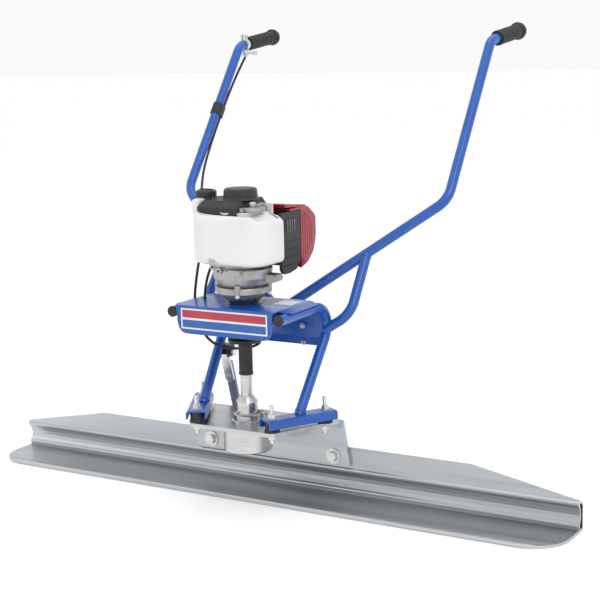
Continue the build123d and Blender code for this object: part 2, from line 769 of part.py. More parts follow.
def make_lever_screw():
    origin, axis, sideways, down = control_frame()
    r = TUBE_OD / 2
    top = origin + down * (r + 1.2)
    bottom = lever_origin() + down * 3.4
    shank = rod(tuple(top), tuple(bottom), 2.5)
    head = Plane(origin=bottom, z_dir=down) * (Pos(0, 0, 1.6) * Cylinder(4.6, 3.2))
    slot = Plane(origin=bottom, x_dir=axis, z_dir=down) * (Pos(0, 0, 3.2) * Box(12, 1.2, 1.6))
    return shank + head - slot


def handle_point(side, z):
    t = (z - HANDLE_BEND[2]) / (HANDLE_TOP[2] - HANDLE_BEND[2])
    y = HANDLE_BEND[1] + t * (HANDLE_TOP[1] - HANDLE_BEND[1])
    x = HANDLE_BEND[0] + t * (HANDLE_TOP[0] - HANDLE_BEND[0])
    return Vector(side * x, y, z)


CABLE_R = 2.6
CABLE_SIDE = Vector(0.40, 0.748, -0.530)
STRAP_Z = 699.0


def cable_points():
    origin, axis, sideways, down = control_frame()
    offset = CABLE_SIDE * (TUBE_OD / 2 + CABLE_R + 0.4)
    lever = lever_origin() + down * 6.4 - axis * 12 + Vector(5.5, 0, 0)
    above = handle_point(-1, STRAP_Z + 60) + offset
    leave = handle_point(-1, 612) + offset
    return [
        tuple(lever),
        tuple(above),
        tuple(leave),
        (-244, 228, 550),
        (-160, 110, 470),
        (-129, 34, 400),
        (-132, 28, 330),
        (-96, 33, 273),
        (-20, 32, 275),
        (14, 46, 290),
        (-30, 60, 324),
        (CABLE_HOLE[0] - 1, CABLE_HOLE[1] + 4, 334),
        (CABLE_HOLE[0], CABLE_HOLE[1], 386),
        (-92, 32, 430),
        (-70, 42, 466),
        (-62, 48, 495),
    ]


def make_cable():
    return round_bar(cable_points(), CABLE_R)


def make_cable_strap():
    tube_at = handle_point(-1, STRAP_Z)
    run = (vec(HANDLE_TOP) - vec(HANDLE_BEND)).normalized()
    run = Vector(-run.X, run.Y, run.Z)
    offset = CABLE_SIDE * (TUBE_OD / 2 + CABLE_R + 0.4)
    plane = Plane(origin=tube_at - run * 12, z_dir=run)
    local = plane.to_local_coords(tube_at - run * 12 + offset)
    outer = make_hull(
        (Circle(TUBE_OD / 2 + 2.2)).edges()
        + (Pos(local.X, local.Y) * Circle(CABLE_R + 2.2)).edges()
    )
    hole = Circle(TUBE_OD / 2 + 0.05)
    hole2 = Pos(local.X, local.Y) * Circle(CABLE_R + 0.1)
    return extrude(plane * (outer - hole - hole2), 24)


# ---------------------------------------------------------------- clutch and engine
def make_clutch_case():
    body = turned(
        [(22.5, 364.2), (25, 364.2), (25, 374), (36.5, 382), (36.5, 392), (50, 392), (50, 401),
         (49, 403), (33, 403), (33, 384), (22.5, 375.5)]
    )
    for x, y in case_bolt_spots():
        boss = cyl(x, y, 392, 403, 5.5)
        body = body + (boss - cyl(0, 0, 380, 404, 36))
        body = body - cyl(x, y, 380, 404, 2.7)
    return body


def make_case_bolts():
    pieces = []
    for x, y in case_bolt_spots():
        bolt = cyl(x, y, 387, 392, 4.3) + cyl(x, y, 391, 407, 2.6)
        socket = hex_prism(x, y, 386.9, 389.5, 4)
        pieces.append(bolt - socket)
    return group(pieces)


def make_deck_bolts():
    pieces = []
    for x, y in deck_bolt_spots():
        shank = cyl(x, y, 357, DECK_TOP_Z, 2.5)
        head = hex_prism(x, y, 355.8, 359.9, 9)
        pieces.append(shank + head)
    return group(pieces)


def make_clutch_drum():
    body = turned(
        [(0, 376.5), (8, 376.5), (8, 380), (14, 383), (30, 386), (30, 400), (27.6, 400),
         (27.6, 388.5), (8, 386.4), (0, 386.4)]
    )
    return body - cyl(0, 0, 370, 384, SHAFT_R)


def make_clutch_shoes():
    pieces = []
    for side in (-1, 1):
        shoe = ring(0, 0, 390, 399.5, 26.9, 12.5)
        shoe = shoe - block(-30, 30, -side * 40, side * 3, 380, 410)
        pin = cyl(side * 18, side * 9, 389, 406, 2.4)
        shoe = shoe - cyl(side * 18, side * 9, 380, 410, 2.4)
        pieces += [shoe, pin]
    return group(pieces)


CRANK_Z = (402.0, 452.0, 486.0, 545.0)


def make_crankshaft():
    lower = cyl(0, 0, 386.8, 452, 7.0)
    upper = cyl(0, 0, 486, 541, 7.0)
    carrier = cyl(0, 0, 404, 407, 24)
    for side in (-1, 1):
        carrier = carrier - cyl(side * 18, side * 9, 400, 410, 2.4)
    shape = lower + upper + carrier
    for z0 in (448, 478):
        cheek = cyl(0, 0, z0, z0 + 9, 22) - block(-30, 30, 8, 30, z0 - 1, z0 + 10)
        cheek = cheek + cyl(0, 15, z0, z0 + 9, 8) + block(-8, 8, 0, 15, z0, z0 + 9)
        shape = shape + cheek
    pin = cyl(0, 15, 450, 482, 5.5)
    return shape + pin


def make_connecting_rod():
    big = ring(0, 15, 462, 473, 10, 5.55)
    small = Pos(0, 78, 467.5) * (Cylinder(6.5, 11) - Cylinder(4.05, 12))
    beam = block(-3.5, 3.5, 24, 73, 463, 472)
    return big + small + beam


def make_piston():
    crown = rod((0, 68, 467.5), (0, 90, 467.5), 19.4)
    skirt_hollow = rod((0, 66, 467.5), (0, 85, 467.5), 16)
    body = crown - skirt_hollow
    pin = cyl(0, 78, 450, 485, 4.0)
    for y in (86.0, 88.0):
        groove = rod((0, y - 0.5, 467.5), (0, y + 0.5, 467.5), 20.5)
        groove = groove - rod((0, y - 1, 467.5), (0, y + 1, 467.5), 18.2)
        body = body - groove
    return body + pin


def make_crankcase():
    body = turned(
        [(0, 403.3), (44, 403.3), (49, 409), (53, 420), (54.5, 436), (50, 441), (50, 541),
         (46, 541), (46, 500), (44, 500), (44, 414), (32, 409.2), (0, 409.2)]
    )
    floor = ring(0, 0, 494, 500, 46, 7.3)
    ledge = ring(0, 0, 538, 548.5, 50, 30) - block(-60, 25, -60, 60, 530, 560)
    ledge = ledge - block(-60, 60, 10, 60, 530, 560)
    body = body + ledge
    body = body + floor
    body = body - cyl(0, 0, 400, 411, 26) - cyl(0, 0, 400, 440, 7.3)
    seat = ring(0, 0, 409.2, 424, 14, 7.3)
    body = body + seat
    face = block(-30, 30, 44, 57, 436, 500)
    body = body + face - rod((0, 30, 467.5), (0, 70, 467.5), 20.5)
    for x, y in case_bolt_spots():
        body = body + (cyl(x, y, 403.3, 409.5, 6) - cyl(0, 0, 400, 425, 44.5))
        body = body - cyl(x, y, 400, 407.3, 2.65)
    for x in (-52, -15):
        y = -math.sqrt(max(0.0, 54.5 ** 2 - x * x)) - 1
        lug = rod((x, y - 5, 436), (x, y + 8, 436), 6) - cyl(0, 0, 400, 460, 50)
        body = body + lug - rod((x, y - 8, 436), (x, y + 2, 436), 2.4)
    pad = block(6, 30, -58, -46, 430, 439)
    body = body + (pad - cyl(0, 0, 400, 460, 46))
    foot = block(36, 72, -8, 21, 412, 426) - cyl(0, 0, 400, 460, 50)
    foot = softened(foot, foot.edges().filter_by(Axis.Y).sort_by(Axis.Z)[0:2], 6)
    body = body + foot
    return body.solids().sort_by(SortBy.VOLUME)[-1]


def make_cylinder():
    barrel = rod((0, 57.3, 467.5), (0, 118.5, 467.5), 24.5)
    body = barrel
    y = 64.0
    while y < 110:
        body = body + block(-38, 38, y, y + 1.8, 440, 497)
        y += 6.0
    body = body + block(-30, 30, 57.3, 61, 436, 500)
    body = body + block(-24, 24, 118, 126, 452, 492)
    body = body - rod((0, 50, 467.5), (0, 112, 467.5), 19.5)
    plug_hole = rod((0, 110, 467.5), (0, 130, 467.5), 5.0)
    return body - plug_hole


def make_spark_plug():
    thread = rod((0, 112, 467.5), (0, 126.4, 467.5), 4.9)
    hexagon = Plane(origin=(0, 126.4, 467.5), z_dir=(0, 1, 0)) * extrude(
        RegularPolygon(8, 6, major_radius=False), 6)
    boot = rod((0, 132, 467.5), (0, 139, 467.5), 7.0)
    return thread + hexagon + boot


def make_flywheel():
    disc = cyl(0, 0, 512, 520, 44) + cyl(0, 0, 512, 536, 14)
    hub_hole = cyl(0, 0, 500, 545, 7.0)
    wheel = disc
    for i in range(12):
        blade = block(22, 43, -1.1, 1.1, 518, 534)
        wheel = wheel + Rot(0, 0, i * 30) * blade
    return wheel - hub_hole


def make_recoil_housing():
    skirt = block(-60, 24.5, -52, 47, 541.4, 549)
    apron = block(-46, 24.5, -54, -51.8, 535.5, 549)
    lower = Pos(-17.75, -2.5, 549) * Rectangle(84.5, 99)
    upper = Pos(-17.0, 1.0, 560.5) * Rectangle(73, 80)
    hood = loft([lower.face(), upper.face()])
    shell = skirt + apron + hood
    space = block(-57, 21.5, -48, 44, 540, 549)
    lower = Pos(-17.75, -2.5, 548.9) * Rectangle(78.5, 92)
    upper = Pos(-17.0, 1.0, 558.0) * Rectangle(68, 75)
    shell = shell - space - loft([lower.face(), upper.face()])
    dome = turned(
        [(34, 560.2), (31.5, 563), (30, 577.5), (27.5, 580), (0, 580), (0, 577.4), (27, 577.4),
         (28.5, 560.2)]
    )
    post = cyl(0, 0, 545.6, 578, 3.05) + cyl(0, 0, 543.2, 545.7, 6)
    shell = shell + dome + post
    shell = shell - rod((-100, 68.2, 551.5), (-20, 20.2, 551.5), 3.6)
    return shell - ring(0, 0, 579.2, 581, 24.5, 23.3)


def make_recoil_pulley():
    return turned(
        [(3.1, 546), (16.5, 546), (16.5, 547.5), (13, 549), (13, 552), (16.5, 553.5),
         (16.5, 555), (3.1, 555)]
    )


def make_recoil_grip():
    a = (-67.5, 48.7, 551.5)
    direction = Vector(-40, 24, 0).normalized()
    across = Vector(0, 0, 1).cross(direction)
    centre = Vector(a[0], a[1], a[2]) + direction * 7
    body = rod(tuple(centre - across * 20), tuple(centre + across * 20), 6.5)
    ends = [e for e in body.edges().filter_by(GeomType.CIRCLE)]
    body = softened(body, ends, 3.5)
    neck = rod(tuple(centre - direction * 6.5), tuple(centre), 5.0)
    body = body + neck
    rope = rod(tuple(Vector(a[0], a[1], a[2]) - direction * 28), tuple(centre), 1.6)
    return body + rope


TANK_PLAN = ((-78, 8), (88, 8), (88, -79), (-78, -79))
TANK_CORNER_R = (16.0, 16.0, 56.0, 34.0)
FILLER = (-69.0, -8.0)
FILLER_Z = 562.3


def tank_block(inset, z0, z1):
    """The tank's rounded plan, pulled in by the inset, between two heights."""
    x0, x1 = TANK_PLAN[0][0] + inset, TANK_PLAN[1][0] - inset
    y0, y1 = TANK_PLAN[2][1] + inset, TANK_PLAN[0][1] - inset
    body = block(x0, x1, y0, y1, z0, z1)
    for (x, y), r in zip(TANK_PLAN, TANK_CORNER_R):
        edge = body.edges().filter_by(Axis.Z).sort_by(
            lambda e: math.hypot(e.center().X - x, e.center().Y - y))[0:1]
        body = softened(body, edge, r - inset)
    return body


def make_tank():
    body = tank_block(0, 449, 541)
    top = body.edges().filter_by(lambda e: abs(e.center().Z - 541) < 0.1)
    body = softened(body, top, 9)
    low = body.edges().filter_by(lambda e: abs(e.center().Z - 449) < 0.1)
    body = softened(body, low, 12)
    shoulder = block(-77, -61, -46, 7, 500, 562)
    shoulder = softened(shoulder, shoulder.edges().filter_by(Axis.Z).sort_by(Axis.X)[0:2], 7)
    ridge = shoulder.edges().filter_by(lambda e: abs(e.center().Z - 562) < 0.1)
    shoulder = softened(shoulder, ridge, 4)
    inner = tank_block(4, 457, 528) - cyl(0, 0, 430, 600, 55.0)
    inner = inner.solids().sort_by(SortBy.VOLUME)[-1]
    body = body + shoulder - inner
    body = body - cyl(0, 0, 430, 600, 51.0)
    body = body - block(-60.5, 26, -55, 50, 535, 600)
    body = body.solids().sort_by(SortBy.VOLUME)[-1]
    return body - cyl(FILLER[0], FILLER[1], 520, 580, 5.5)


def make_fuel_cap():
    x, y = FILLER
    body = cyl(x, y, FILLER_Z + 0.3, FILLER_Z + 13, 19)
    body = softened(body, body.edges().sort_by(Axis.Z)[-1:], 4)
    body = body + cyl(x, y, FILLER_Z - 12, FILLER_Z + 1, 5.2)
    for i in range(18):
        angle = math.radians(i * 20)
        body = body - cyl(x + 19.6 * math.cos(angle), y + 19.6 * math.sin(angle),
                          FILLER_Z - 8, FILLER_Z + 9, 1.4)
    bar = block(x - 13, x + 13, y - 2.5, y + 2.5, FILLER_Z + 12, FILLER_Z + 15)
    return body + bar


HEAD_PROFILE = ((56, 538), (122, 538), (150, 518), (150, 478), (140, 450), (118, 431), (84, 421),
                (56, 421))
HEAD_RADII = (20.0, 16.0, 30.0, 30.0, 30.0)


def rounded_profile(corners, radii, x):
    """Closed outline in a YZ plane with the inner corners rounded, first and last kept sharp."""
    plan = make_face(Polyline(*corners, close=True))
    for (y, z), r in zip(corners[1:-2], radii):
        spot = [v for v in plan.vertices() if abs(v.X - y) < 0.01 and abs(v.Y - z) < 0.01]
        plan = softened_face(plan, spot, r)
    return Plane(origin=(x, 0, 0), x_dir=(0, 1, 0), z_dir=(1, 0, 0)) * plan


def softened_face(face, spots, radius):
    for factor in (1.0, 0.7, 0.45, 0.25):
        try:
            return fillet(spots, radius * factor)
        except Exception:
            continue
    return face


def make_head_cover():
    outer = extrude(rounded_profile(HEAD_PROFILE, HEAD_RADII, -70), 140)
    edges = outer.edges().filter_by(lambda e: abs(abs(e.center().X) - 70) < 0.1
                                    and e.center().Y > 100)
    outer = softened(outer, edges, 5)
    shrunk = tuple(
        (50 if y == 56 else y - 3.4, z - 3.4 if z > 500 else z + 3.4) for y, z in HEAD_PROFILE
    )
    shrunk = tuple((y, 415 if z < 426 else z) for y, z in shrunk)
    inner = extrude(rounded_profile(shrunk, HEAD_RADII, -66.6), 133.2)
    body = outer - inner
    for side in (-1, 1):
        body = body - block(side * 60, side * 75, 50, 92, 415, 534)
    body = body - block(-75, -60, 50, 116, 430, 522)
    for i in range(7):
        z = 470 + i * 8
        body = body - block(-40, 40, 145, 152, z, z + 4)
    return body.solids().sort_by(SortBy.VOLUME)[-1]


def make_side_cover():
    body = block(62, 69.6, 24, 91.5, 421, 533.5)
    body = softened(body, body.edges().filter_by(Axis.X).sort_by(Axis.Z)[0:1], 14)
    hollow = block(58, 66.6, 27, 95, 424, 530.5)
    body = body - hollow
    window = block(60, 75, 34, 80, 492, 522)
    body = body - window
    for z in (434, 454, 474):
        body = body + block(69.5, 71.2, 30, 90, z, z + 3)
    for y in (52, 67):
        body = body + block(67, 69.4, y - 3, y, 491, 523)
    return body


def make_muffler():
    body = block(42, 61, 62, 110, 440, 512)
    body = softened(body, body.edges(), 6)
    outlet = rod((52, 86, 441), (52, 86, 432), 6)
    hole = rod((52, 86, 450), (52, 86, 430), 4.5)
    return body + outlet - hole


def make_carburettor():
    body = block(-74, -42, 66, 94, 455, 484)
    body = softened(body, body.edges().filter_by(Axis.X), 5)
    bowl = cyl(-60, 80, 448, 456, 11)
    barrel = cyl(-60, 80, 483, 491, 9)
    return body + bowl + barrel - rod((-80, 80, 470), (-30, 80, 470), 7)


CARB_ARM_PIVOT = (-60.0, 80.0)


def make_carb_arm():
    x, y = CARB_ARM_PIVOT
    hub = cyl(x, y, 491.3, 496, 6)
    arm = block(x - 3, x + 3, y - 12, y, 491.3, 494.3)
    end = cyl(x, y - 12, 491.3, 497, 3)
    return hub + arm + end


def make_air_cleaner():
    body = block(-117, -74.5, 54, 112, 440, 516)
    body = softened(body, body.edges().filter_by(Axis.Z), 9)
    body = softened(body, body.edges().filter_by(lambda e: e.center().X < -100), 4)
    hollow = block(-113, -77.5, 58, 108, 444, 512)
    body = body - hollow
    body = body - rod((-80, 80, 470), (-70, 80, 470), 7)
    for i in range(5):
        y = 66 + i * 8
        body = body - block(-119, -115.6, y, y + 3, 455, 500)
    return body


# ---------------------------------------------------------------- kickstand
def stand_point(down):
    """A point of the leg's centre line, this far below the pivot."""
    return Vector(STAND_X, STAND_PIVOT[1] + STAND_LEAN * down, STAND_PIVOT[2] - down)


def make_stand_bracket():
    x, y, z = STAND_PIVOT
    pieces = []
    for dx in (-13.2, 10.2):
        ear = block(x + dx, x + dx + 3, y - 12, y + 12, z - 9, z + 15)
        pieces.append(ear)
    back = block(x - 13.2, x + 13.2, y - 12, y - 8.2, z - 4, z + 15)
    top = block(x - 13.2, x + 13.2, y - 12, y + 8, z + 12, z + 15)
    body = pieces[0] + pieces[1] + back + top
    body = body - rod((x - 20, y, z), (x + 20, y, z), 4.3)
    path = smooth_path(frame_points(-1), FRAME_BEND_R)
    section = Plane(origin=path @ 0, z_dir=path % 0) * Circle(TUBE_OD / 2 + 0.02)
    body = body - sweep(section, path=path)
    return body.solids().sort_by(SortBy.VOLUME)[-1]


def make_stand_pin():
    x, y, z = STAND_PIVOT
    pin = rod((x - 15.5, y, z), (x + 15.5, y, z), 4.25)
    head = Plane(origin=(x - 20, y, z), z_dir=(1, 0, 0)) * extrude(
        RegularPolygon(6.5, 6, major_radius=False), 4.6)
    tail = Plane(origin=(x + 15.4, y, z), z_dir=(1, 0, 0)) * extrude(
        RegularPolygon(6.5, 6, major_radius=False), 5.0)
    return pin + head + tail


def slanted_plane(down):
    run = (stand_point(100) - stand_point(0)).normalized()
    return Plane(origin=stand_point(down), x_dir=(1, 0, 0), z_dir=run)


def make_stand_link():
    plane = slanted_plane(0)
    barrel = rod((STAND_X - 9.8, STAND_PIVOT[1], STAND_PIVOT[2]),
                 (STAND_X + 9.8, STAND_PIVOT[1], STAND_PIVOT[2]), 7.5)
    strip = plane * (Pos(0, 4.6, 28) * Box(19, 4, 56))
    tip = plane * (Pos(0, 4.6, 56) * (Rot(90, 0, 0) * Cylinder(9.5, 4)))
    body = barrel + strip + tip
    body = body - rod((STAND_X - 20, STAND_PIVOT[1], STAND_PIVOT[2]),
                      (STAND_X + 20, STAND_PIVOT[1], STAND_PIVOT[2]), 4.3)
    for z in (38, 54):
        body = body - plane * (Pos(0, 4.6, z) * (Rot(90, 0, 0) * Cylinder(2.7, 8)))
    return body


def make_stand_leg():
    plane = slanted_plane(0)
    length = STAND_PIVOT[2] * math.hypot(1, STAND_LEAN)
    bar = plane * (Pos(0, -0.4, (20 + length + 6) / 2) * Box(18, 6, length - 14))
    rib = plane * (Pos(0, -5.4, (34 + length + 6) / 2) * Box(5, 4.2, length - 30))
    body = bar + rib
    for z in (38, 54):
        body = body - plane * (Pos(0, -0.4, z) * (Rot(90, 0, 0) * Cylinder(2.7, 20)))
    floor = block(STAND_X - 40, STAND_X + 40, 100, 260, -30, 0)
    return body - floor


def make_stand_bolts():
    plane = slanted_plane(0)
    pieces = []
    for z in (38, 54):
        shank = plane * (Pos(0, 0.6, z) * (Rot(90, 0, 0) * Cylinder(2.6, 21)))
        head = plane * (Pos(0, 6.6 + 1.75, z) * (Rot(90, 0, 0) * Cylinder(5.0, 3.5)))
        tail = plane * (Pos(0, -3.4 - 6.0, z) * (Rot(90, 0, 0) * Cylinder(4.6, 3.5)))
        pieces.append(shank + head + tail)
    return group(pieces)


def one_sided(name, maker):
    save(name + "_left", maker(-1))
    save(name + "_right", maker(1))


def save_blade_and_exciter():
    save("screed_blade", make_blade())
    save("exciter_bracket", make_bracket())
    save("blade_bolts", group([make_blade_bolts(), make_blade_washers(), make_blade_nuts()]))
    save("exciter_housing", make_exciter_housing())
    save("exciter_bearings", group([make_bearing(98.8, 108.4), make_bearing(148.6, 158.6)]))
    save("eccentric_weight", make_eccentric())
    save("drive_shaft", cyl(0, 0, 98.8, 384.0, SHAFT_R))
    save("shaft_base", make_shaft_base())
    save("shaft_tube", ring(0, 0, 172.2, 329.8, 11.0, 8.6))
    save("rubber_sleeve", make_sleeve())
    save("shaft_head", make_shaft_head())


def save_frame():
    one_sided("foot_channel", make_channel)
    save("isolators", make_isolators())
    save("isolator_studs", group([make_studs(), make_mount_nuts()]))
    one_sided("frame_tube", make_frame_tube)
    save("frame_end_caps", make_end_caps())
    save("deck_cover", make_deck())
    save("rear_plate", make_rear_plate())
    save("handle_base", make_handle_base())
    save("rear_plate_bolts", make_rear_bolts())
    save("stand_bracket", make_stand_bracket())
    save("stand_pin", make_stand_pin())
    save("stand_link", make_stand_link())
    save("stand_leg", make_stand_leg())
    save("stand_bolts", make_stand_bolts())


def save_handles():
    one_sided("handle_tube", make_handle_tube)
    one_sided("handle_brace", make_brace)
    one_sided("grip", make_grip)
    save("throttle_clamp", make_throttle_clamp())
    save("throttle_lever", make_throttle_lever())
    save("throttle_lever_screw", make_lever_screw())
    save("throttle_cable", make_cable())
    save("cable_strap", make_cable_strap())


def save_engine():
    save("clutch_case", make_clutch_case())
    save("engine_bolts", group([make_case_bolts(), make_deck_bolts()]))
    save("clutch_drum", make_clutch_drum())
    save("clutch_shoes", make_clutch_shoes())
    save("crankshaft", make_crankshaft())
    save("connecting_rod", make_connecting_rod())
    save("piston", make_piston())
    save("crankcase", make_crankcase())
    save("cylinder", make_cylinder())
    save("spark_plug", make_spark_plug())
    save("flywheel", make_flywheel())
    save("recoil_housing", make_recoil_housing())
    save("recoil_pulley", make_recoil_pulley())
    save("recoil_grip", make_recoil_grip())
    save("fuel_tank", make_tank())
    save("fuel_cap", make_fuel_cap())
    save("head_cover", make_head_cover())
    save("side_cover", make_side_cover())
    save("muffler", make_muffler())
    save("carburettor", make_carburettor())
    save("carb_throttle_arm", make_carb_arm())
    save("air_cleaner", make_air_cleaner())


save_blade_and_exciter()
save_frame()
save_handles()
save_engine()
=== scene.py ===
import json
import math
import bmesh
import bpy
from mathutils import Matrix, Vector


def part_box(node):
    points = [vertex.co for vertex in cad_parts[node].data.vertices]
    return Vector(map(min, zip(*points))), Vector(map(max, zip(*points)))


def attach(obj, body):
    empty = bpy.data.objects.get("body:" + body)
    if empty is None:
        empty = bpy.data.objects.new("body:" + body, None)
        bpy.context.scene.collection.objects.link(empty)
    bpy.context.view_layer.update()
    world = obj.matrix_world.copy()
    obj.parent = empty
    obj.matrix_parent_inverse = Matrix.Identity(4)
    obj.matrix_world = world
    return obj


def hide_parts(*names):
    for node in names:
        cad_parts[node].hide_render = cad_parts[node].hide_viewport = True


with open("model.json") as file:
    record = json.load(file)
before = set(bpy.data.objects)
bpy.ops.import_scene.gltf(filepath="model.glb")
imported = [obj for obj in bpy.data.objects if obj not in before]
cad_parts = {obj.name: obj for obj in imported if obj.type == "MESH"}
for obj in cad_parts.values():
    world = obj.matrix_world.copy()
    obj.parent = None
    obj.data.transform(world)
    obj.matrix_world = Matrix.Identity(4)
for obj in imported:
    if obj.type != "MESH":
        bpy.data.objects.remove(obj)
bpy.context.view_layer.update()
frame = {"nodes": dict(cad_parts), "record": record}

NOISE_ROUGHNESS = 0.6

# ---------------------------------------------------------------- materials
def principled(name):
    mat = bpy.data.materials.new(name)
    mat.use_nodes = True
    tree = mat.node_tree
    return mat, tree, tree.nodes["Principled BSDF"]


def noise(tree, scale, detail=6.0, stretch=None):
    """A noise texture in object coordinates, stretched along an axis for brushed grain."""
    tex = tree.nodes.new("ShaderNodeTexNoise")
    tex.inputs["Scale"].default_value = scale
    tex.inputs["Detail"].default_value = detail
    tex.inputs["Roughness"].default_value = NOISE_ROUGHNESS
    where = tree.nodes.new("ShaderNodeTexCoord")
    if stretch:
        mapping = tree.nodes.new("ShaderNodeMapping")
        mapping.inputs["Scale"].default_value = stretch
        tree.links.new(where.outputs["Object"], mapping.inputs["Vector"])
        tree.links.new(mapping.outputs["Vector"], tex.inputs["Vector"])
    else:
        tree.links.new(where.outputs["Object"], tex.inputs["Vector"])
    return tex


def ramp(tree, source, stops):
    node = tree.nodes.new("ShaderNodeValToRGB")
    while len(node.color_ramp.elements) < len(stops):
        node.color_ramp.elements.new(0.5)
    for element, (at, colour) in zip(node.color_ramp.elements, stops):
        element.position = at
        element.color = (*colour, 1)
    tree.links.new(source, node.inputs["Fac"])
    return node


def grey(v):
    return (v, v, v)


def bump(tree, bsdf, source, strength, distance):
    node = tree.nodes.new("ShaderNodeBump")
    node.inputs["Strength"].default_value = strength
    node.inputs["Distance"].default_value = distance
    tree.links.new(source, node.inputs["Height"])
    tree.links.new(node.outputs["Normal"], bsdf.inputs["Normal"])


def surface(name, colours, roughs, metallic=0.0, grain=60.0, bump_scale=400.0, bump_strength=0.1,
            bump_distance=0.0002, stretch=None, coat=0.0):
    """A procedural finish: patchy colour and roughness from one noise, fine grain from another."""
    mat, tree, bsdf = principled(name)
    broad = noise(tree, grain, stretch=stretch)
    colour = ramp(tree, broad.outputs["Fac"], [(0.3, colours[0]), (0.7, colours[1])])
    tree.links.new(colour.outputs["Color"], bsdf.inputs["Base Color"])
    wear = noise(tree, grain * 2.3, detail=8.0, stretch=stretch)
    rough = ramp(tree, wear.outputs["Fac"], [(0.3, grey(roughs[0])), (0.75, grey(roughs[1]))])
    tree.links.new(rough.outputs["Color"], bsdf.inputs["Roughness"])
    bsdf.inputs["Metallic"].default_value = metallic
    bsdf.inputs["Coat Weight"].default_value = coat
    fine = noise(tree, bump_scale, detail=4.0, stretch=stretch)
    bump(tree, bsdf, fine.outputs["Fac"], bump_strength, bump_distance)
    return mat


MAT = {
    "blade_aluminium": surface("blade_aluminium", ((0.40, 0.42, 0.44), (0.56, 0.57, 0.58)),
                               (0.26, 0.42), 1.0, 5.0, 60.0, 0.12, 0.0002,
                               stretch=(0.25, 6.0, 6.0)),
    "housing_aluminium": surface("housing_aluminium", ((0.50, 0.50, 0.50), (0.62, 0.62, 0.61)),
                                 (0.22, 0.38), 1.0, 20.0, 500.0, 0.06, stretch=(1, 1, 8)),
    "cast_aluminium": surface("cast_aluminium", ((0.30, 0.30, 0.29), (0.48, 0.48, 0.47)),
                              (0.34, 0.52), 0.9, 40.0, 900.0, 0.25),
    "piston_aluminium": surface("piston_aluminium", ((0.5, 0.5, 0.5), (0.6, 0.6, 0.6)),
                                (0.3, 0.4), 1.0),
    "zinc_steel": surface("zinc_steel", ((0.55, 0.56, 0.57), (0.72, 0.72, 0.70)), (0.22, 0.4),
                          1.0, 120.0, 900.0, 0.12),
    "machined_steel": surface("machined_steel", ((0.4, 0.4, 0.41), (0.5, 0.5, 0.52)), (0.25, 0.4),
                              1.0),
    "dark_steel": surface("dark_steel", ((0.012, 0.012, 0.013), (0.03, 0.03, 0.032)), (0.35, 0.55),
                          0.3),
    "blue_paint": surface("blue_paint", ((0.004, 0.070, 0.34), (0.006, 0.090, 0.40)), (0.24, 0.40),
                          0.0, 14.0, 700.0, 0.10, 0.0003, coat=0.25),
    "black_rubber": surface("black_rubber", ((0.008, 0.008, 0.008), (0.022, 0.022, 0.023)),
                            (0.45, 0.7), 0.0, 90.0, 1200.0, 0.3),
    "black_plastic": surface("black_plastic", ((0.010, 0.010, 0.011), (0.024, 0.024, 0.026)),
                             (0.34, 0.55), 0.0, 60.0, 1800.0, 0.3),
    "white_plastic": surface("white_plastic", ((0.66, 0.67, 0.68), (0.74, 0.74, 0.745)),
                             (0.30, 0.42), 0.0, 12.0, 300.0, 0.05),
    "red_plastic": surface("red_plastic", ((0.24, 0.002, 0.012), (0.33, 0.005, 0.018)),
                           (0.16, 0.30), 0.0, 18.0, 500.0, 0.05, coat=0.4),
    "black_paint": surface("black_paint", ((0.010, 0.010, 0.011), (0.025, 0.025, 0.026)),
                           (0.35, 0.5)),
    "grey_paint": surface("grey_paint", ((0.17, 0.18, 0.25), (0.25, 0.26, 0.34)), (0.32, 0.5),
                          0.3, 40.0),
}

slot_of = {p["node"]: p["material_slot"] for p in frame["record"]["subparts"]}
for name, node in frame["nodes"].items():
    node.data.materials.clear()
    node.data.materials.append(MAT[slot_of[name]])


# ---------------------------------------------------------------- added pieces
def mm(*values):
    return tuple(v / 1000 for v in values)


def shape(name, verts, faces, slot, bevel=0.0, smooth=False, body="screed_frame", mat=None):
    """A mesh piece from vertices in millimetres, bevelled, riding on one body."""
    mesh = bpy.data.meshes.new(name)
    mesh.from_pydata([mm(*v) for v in verts], [], faces)
    build = bmesh.new()
    build.from_mesh(mesh)
    bmesh.ops.recalc_face_normals(build, faces=build.faces)
    build.to_mesh(mesh)
    build.free()
    obj = bpy.data.objects.new(name, mesh)
    bpy.context.scene.collection.objects.link(obj)
    mesh.materials.append(mat or MAT[slot])
    if smooth:
        for face in mesh.polygons:
            face.use_smooth = True
    if bevel:
        mod = obj.modifiers.new("edge", "BEVEL")
        mod.width = bevel / 1000
        mod.segments = 3
        mod.limit_method = "ANGLE"
    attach(obj, body)
    return obj


def prism(name, outline, low, high, axis, slot, bevel=0.6, **more):
    """An outline swept along one axis: its two numbers are the other two axes, in order."""
    def place(a, b, c):
        return {"X": (c, a, b), "Y": (a, c, b), "Z": (a, b, c)}[axis]
    n = len(outline)
    verts = [place(*p, low) for p in outline] + [place(*p, high) for p in outline]
    faces = [tuple(range(n)), tuple(range(n, 2 * n))]
    faces += [(i, (i + 1) % n, n + (i + 1) % n, n + i) for i in range(n)]
    return shape(name, verts, faces, slot, bevel, **more)


def slab(name, x, y, z, slot, bevel=0.6, **more):
    outline = [(x[0], y[0]), (x[1], y[0]), (x[1], y[1]), (x[0], y[1])]
    return prism(name, outline, z[0], z[1], "Z", slot, bevel, **more)


